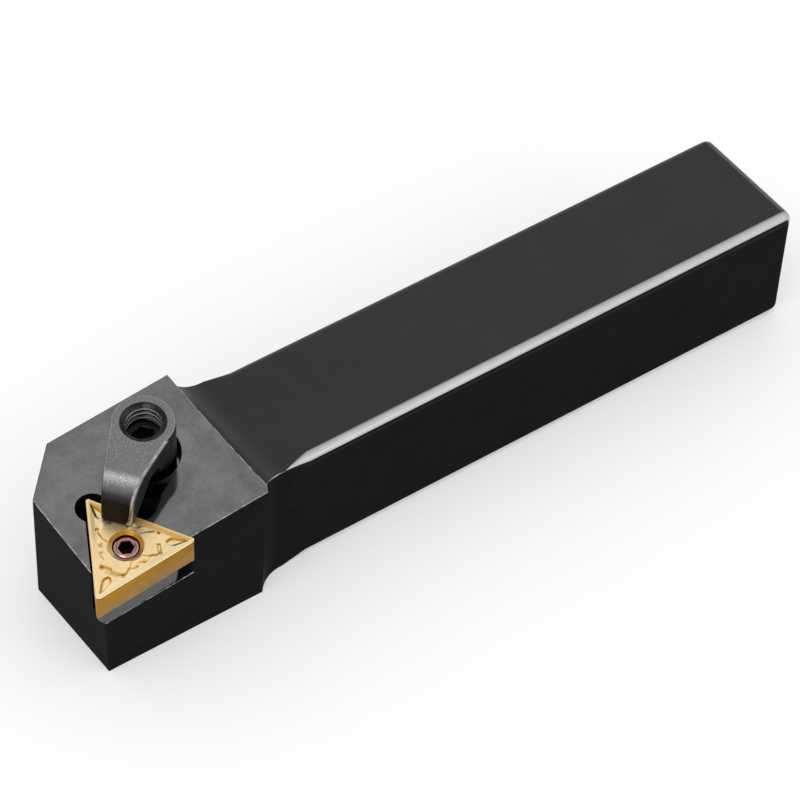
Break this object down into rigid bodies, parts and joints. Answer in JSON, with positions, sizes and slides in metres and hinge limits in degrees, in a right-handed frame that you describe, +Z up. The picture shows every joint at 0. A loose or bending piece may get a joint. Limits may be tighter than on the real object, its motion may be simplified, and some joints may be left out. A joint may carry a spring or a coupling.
{
  "type": "turning tool",
  "caption": "External right-hand turning tool: square shank, wider tilted head, and a triangular insert held on a shim by a pin and a screwed clamp.",
  "frame": {"origin": "middle of the shank's bottom face, without the head", "axes": "+X along the shank to its rear end; -Y to the cutting side; +Z up, from the shank's base to its top"},
  "size_m": [0.125, 0.025, 0.031],
  "materials": {
    "black_steel": "satin black oxide",
    "shim_grey": "ground grey",
    "pin_bronze": "satin bronze coating",
    "insert_gold": "satin gold coating",
    "clamp_black": "blasted black oxide",
    "screw_black": "black oxide"
  },
  "bodies": {
    "holder": {"holder": "black_steel", "shim": "shim_grey", "shim_pin": "pin_bronze", "insert": "insert_gold"},
    "clamp_screw": {"clamp_screw": "screw_black"},
    "clamp": {"clamp": "clamp_black"}
  },
  "joints": [
    {"name": "clamp_screw_turn", "type": "hinge", "parent": "holder", "child": "clamp_screw", "pos_m": [-0.06122, 0.00111, 0.02365], "axis": [-0.104, -0.104, 0.9891], "range_deg": [0, 720]},
    {"name": "clamp_lift", "type": "slide", "parent": "holder", "child": "clamp", "axis": [-0.104, -0.104, 0.9891], "range_m": [0, 0.004]}
  ],
  "couplings": [
    {"joint": "clamp_screw_turn", "follows": "clamp_lift", "rad_per_m": 3141.6}
  ]
}
